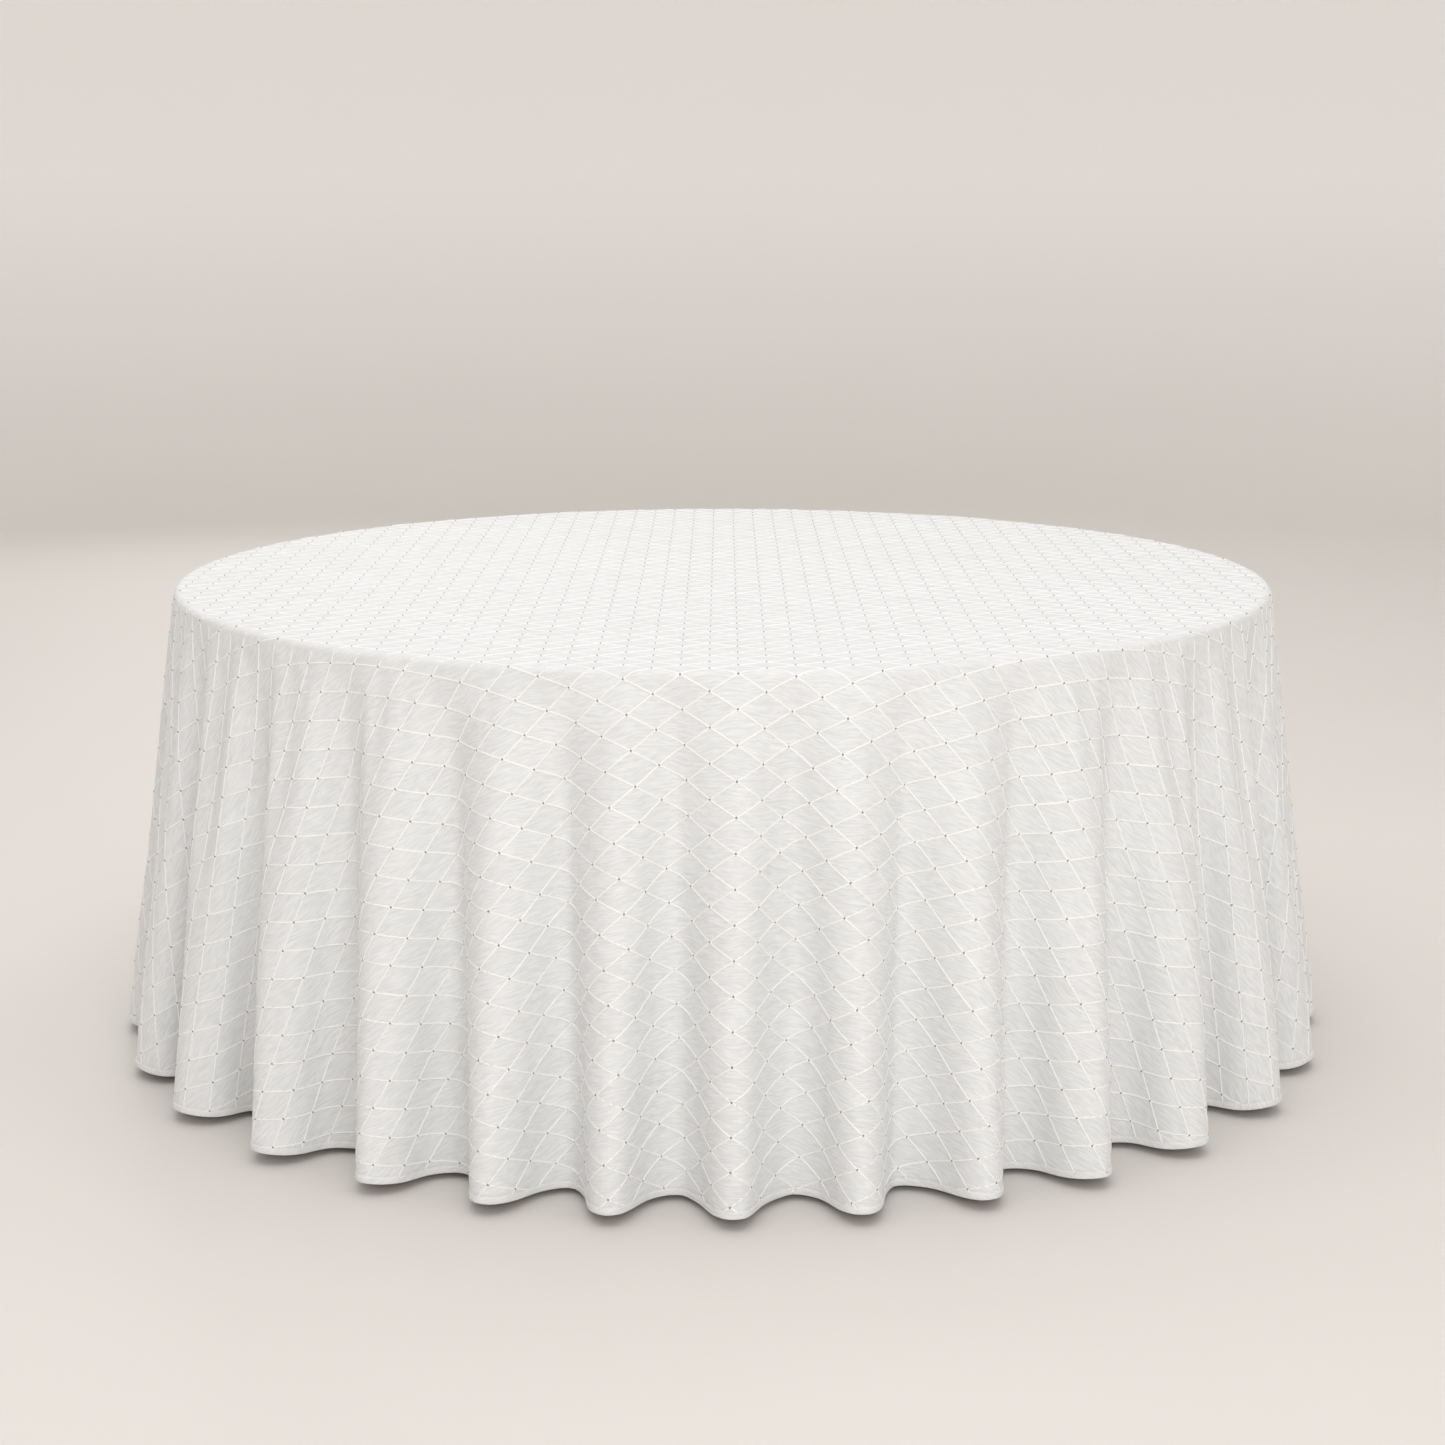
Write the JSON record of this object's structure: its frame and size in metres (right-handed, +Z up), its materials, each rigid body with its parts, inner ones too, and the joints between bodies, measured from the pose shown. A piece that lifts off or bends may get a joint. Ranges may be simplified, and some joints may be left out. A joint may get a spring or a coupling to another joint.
{
  "type": "tablecloth on a round folding table",
  "caption": "Round floor-length cloth in a raised diamond lattice, hanging in soft cone-shaped folds over a round table whose two braced leg frames fold flat.",
  "frame": {"origin": "on the floor, under the centre of the round table", "axes": "+Z up; -Y is the front, the side nearest the viewer; +X is to the viewer's right, where one of the two folding leg frames stands"},
  "size_m": [2.0078, 2.0184, 0.7638],
  "materials": {
    "white_cloth": "crinkled off-white polyester with raised satin lattice lines and small grey beads at the crossings",
    "plywood": "clear-lacquered birch plywood",
    "vinyl_edge": "dark brown bull-nosed vinyl",
    "hardwood": "planed poplar, lacquered",
    "painted_steel": "hammered grey-black powder coat",
    "zinc_steel": "bright zinc plate",
    "rubber": "moulded black rubber"
  },
  "bodies": {
    "table": {"table_panel": "plywood", "edge_band": "vinyl_edge", "side_rail_front": "hardwood", "side_rail_back": "hardwood", "leg_batten_right": "hardwood", "leg_batten_left": "hardwood", "pivot_bracket_right_front": "zinc_steel", "pivot_bracket_right_back": "zinc_steel", "bracket_screw_right_1": "zinc_steel", "bracket_screw_right_2": "zinc_steel", "bracket_screw_right_3": "zinc_steel", "bracket_screw_right_4": "zinc_steel", "brace_mount_right": "zinc_steel", "brace_mount_pin_right": "zinc_steel", "mount_screw_right_1": "zinc_steel", "mount_screw_right_2": "zinc_steel", "pivot_bracket_left_front": "zinc_steel", "pivot_bracket_left_back": "zinc_steel", "bracket_screw_left_1": "zinc_steel", "bracket_screw_left_2": "zinc_steel", "bracket_screw_left_3": "zinc_steel", "bracket_screw_left_4": "zinc_steel", "brace_mount_left": "zinc_steel", "brace_mount_pin_left": "zinc_steel", "mount_screw_left_1": "zinc_steel", "mount_screw_left_2": "zinc_steel"},
    "leg_frame_right": {"pivot_tube_right": "painted_steel", "leg_right_front": "painted_steel", "leg_right_back": "painted_steel", "stretcher_right": "painted_steel", "foot_right_front": "rubber", "foot_right_back": "rubber", "brace_lug_right": "zinc_steel", "brace_lug_pin_right": "zinc_steel"},
    "brace_upper_right": {"brace_upper_arm_right": "painted_steel", "elbow_rivet_right": "zinc_steel"},
    "brace_lower_right": {"brace_lower_arm_right": "painted_steel", "elbow_rivet_tail_right": "zinc_steel"},
    "leg_frame_left": {"pivot_tube_left": "painted_steel", "leg_left_front": "painted_steel", "leg_left_back": "painted_steel", "stretcher_left": "painted_steel", "foot_left_front": "rubber", "foot_left_back": "rubber", "brace_lug_left": "zinc_steel", "brace_lug_pin_left": "zinc_steel"},
    "brace_upper_left": {"brace_upper_arm_left": "painted_steel", "elbow_rivet_left": "zinc_steel"},
    "brace_lower_left": {"brace_lower_arm_left": "painted_steel", "elbow_rivet_tail_left": "zinc_steel"},
    "cloth": {"tablecloth": "white_cloth"}
  },
  "joints": [
    {"name": "right_leg_fold", "type": "hinge", "parent": "table", "child": "leg_frame_right", "pos_m": [0.72, 0, 0.6944], "axis": [0, 1, 0], "range_deg": [0, 92.3]},
    {"name": "right_upper_brace_fold", "type": "hinge", "parent": "table", "child": "brace_upper_right", "pos_m": [0.27, 0, 0.7209], "axis": [0, 1, 0], "range_deg": [0, 143.13]},
    {"name": "right_lower_brace_fold", "type": "hinge", "parent": "leg_frame_right", "child": "brace_lower_right", "pos_m": [0.70556, 0, 0.39358], "axis": [0, -1, 0], "range_deg": [0, 129.27]},
    {"name": "left_leg_fold", "type": "hinge", "parent": "table", "child": "leg_frame_left", "pos_m": [-0.72, 0, 0.6944], "axis": [0, -1, 0], "range_deg": [0, 92.3]},
    {"name": "left_upper_brace_fold", "type": "hinge", "parent": "table", "child": "brace_upper_left", "pos_m": [-0.27, 0, 0.7209], "axis": [0, -1, 0], "range_deg": [0, 143.13]},
    {"name": "left_lower_brace_fold", "type": "hinge", "parent": "leg_frame_left", "child": "brace_lower_left", "pos_m": [-0.70556, 0, 0.39358], "axis": [0, 1, 0], "range_deg": [0, 129.27]},
    {"name": "cloth_lift", "type": "slide", "parent": "table", "child": "cloth", "axis": [0, 0, 1], "range_m": [0, 0.8]}
  ],
  "couplings": [
    {"joint": "right_upper_brace_fold", "follows": "right_leg_fold", "ratio": 1.5501},
    {"joint": "right_lower_brace_fold", "follows": "right_leg_fold", "ratio": 1.4001},
    {"joint": "left_upper_brace_fold", "follows": "left_leg_fold", "ratio": 1.5501},
    {"joint": "left_lower_brace_fold", "follows": "left_leg_fold", "ratio": 1.4001}
  ]
}
